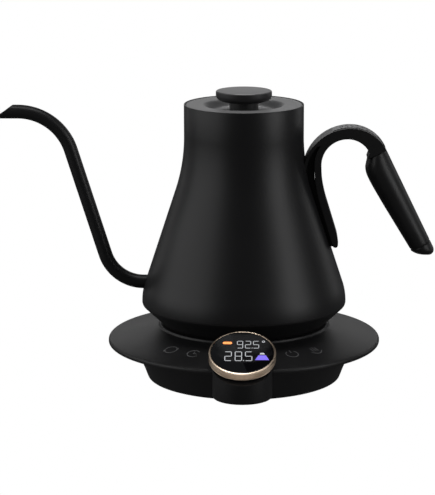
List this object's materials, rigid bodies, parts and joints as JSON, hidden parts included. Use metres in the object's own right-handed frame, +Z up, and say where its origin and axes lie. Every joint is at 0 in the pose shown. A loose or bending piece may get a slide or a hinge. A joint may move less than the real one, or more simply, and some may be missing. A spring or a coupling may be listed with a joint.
{
  "type": "electric kettle",
  "caption": "Gooseneck electric kettle with open-ended handle and lift-off lid, on a round brimmed power base with a tilted display dial ringed by a knurled knob.",
  "frame": {"origin": "on the kettle's vertical axis, at the level of the surface that the rubber feet stand on", "axes": "+Z up; +X towards the handle, -X towards the spout; -Y towards the dial"},
  "size_m": [0.3042, 0.2102, 0.2045],
  "materials": {
    "body_black": "fine matte black powder coat",
    "base_black": "fine-grained matte black moulding",
    "skirt_black": "matte black moulding",
    "handle_black": "soft matte black moulding",
    "grip_black": "soft-touch black moulding",
    "pad_rubber": "soft dimpled rubber",
    "lid_black": "fine matte black powder coat",
    "knob_black": "satin dark grey moulding",
    "connector_black": "glass-filled black nylon",
    "rubber": "black rubber",
    "seal_grey": "dark grey silicone",
    "seal_red": "red silicone",
    "inner_steel": "brushed stainless steel",
    "element_steel": "annealed steel sheath",
    "screw_steel": "zinc-plated steel",
    "spreader_aluminium": "rolled aluminium",
    "contact_brass": "brass",
    "champagne": "knurled champagne anodised aluminium",
    "display_glass": "gloss black display window",
    "panel_black": "segment display module",
    "board_green": "green solder mask",
    "part_grey": "moulded electronic parts",
    "cable_grey": "grey ribbon cable",
    "lead_red": "red silicone lead",
    "magnet": "bonded ferrite",
    "ceramic": "off-white ceramic"
  },
  "bodies": {
    "base": {"base_top": "base_black", "base_pan": "base_black", "base_feet": "rubber", "base_screws": "screw_steel", "base_connector": "connector_black", "contact_rings": "contact_brass", "power_board": "board_green", "power_parts": "part_grey", "touch_board": "board_green", "touch_pads": "contact_brass", "dial_housing": "base_black", "dial_board": "board_green", "dial_cable": "cable_grey", "cord_gland": "rubber"},
    "dial_head": {"dial_carrier": "connector_black", "display_board": "board_green", "display_panel": "panel_black", "display_lens": "display_glass", "dial_retainer": "screw_steel"},
    "dial_rim": {"dial_ring": "champagne", "dial_magnet": "magnet"},
    "connector": {"connector_core": "connector_black", "kettle_contacts": "contact_brass"},
    "kettle": {"vessel": "body_black", "neck_ring": "inner_steel", "vessel_floor": "inner_steel", "heat_spreader": "spreader_aluminium", "heating_element": "element_steel", "thermal_cutout": "ceramic", "temperature_probe": "inner_steel", "probe_seal": "seal_red", "element_leads": "lead_red", "kettle_connector": "connector_black", "connector_cover": "connector_black", "kettle_skirt": "skirt_black", "skirt_screws": "screw_steel", "spout": "body_black", "handle_bracket": "body_black", "handle_arm": "handle_black", "handle_screws": "screw_steel", "thumb_pad": "pad_rubber", "grip": "grip_black", "grip_cap": "grip_black"},
    "lid": {"lid_shell": "lid_black", "lid_inner": "inner_steel", "lid_seal": "seal_grey", "knob": "knob_black", "knob_screw": "screw_steel"}
  },
  "joints": [
    {"name": "dial_press", "type": "slide", "parent": "base", "child": "dial_head", "axis": [0, 0.4226, -0.9063], "range_m": [0, 0.0008], "stiffness_N_per_m": 1500, "springref_m": -0.0008},
    {"name": "dial_turn", "type": "hinge", "parent": "dial_head", "child": "dial_rim", "pos_m": [0, -0.095, 0.0435], "axis": [0, -0.4226, 0.9063], "continuous": true},
    {"name": "kettle_lift", "type": "slide", "parent": "base", "child": "connector", "axis": [0, 0, 1], "range_m": [0, 0.25]},
    {"name": "kettle_swivel", "type": "hinge", "parent": "connector", "child": "kettle", "pos_m": [0, 0, 0.047], "axis": [0, 0, 1], "continuous": true},
    {"name": "lid_lift", "type": "slide", "parent": "kettle", "child": "lid", "axis": [0, 0, 1], "range_m": [0, 0.06]}
  ]
}
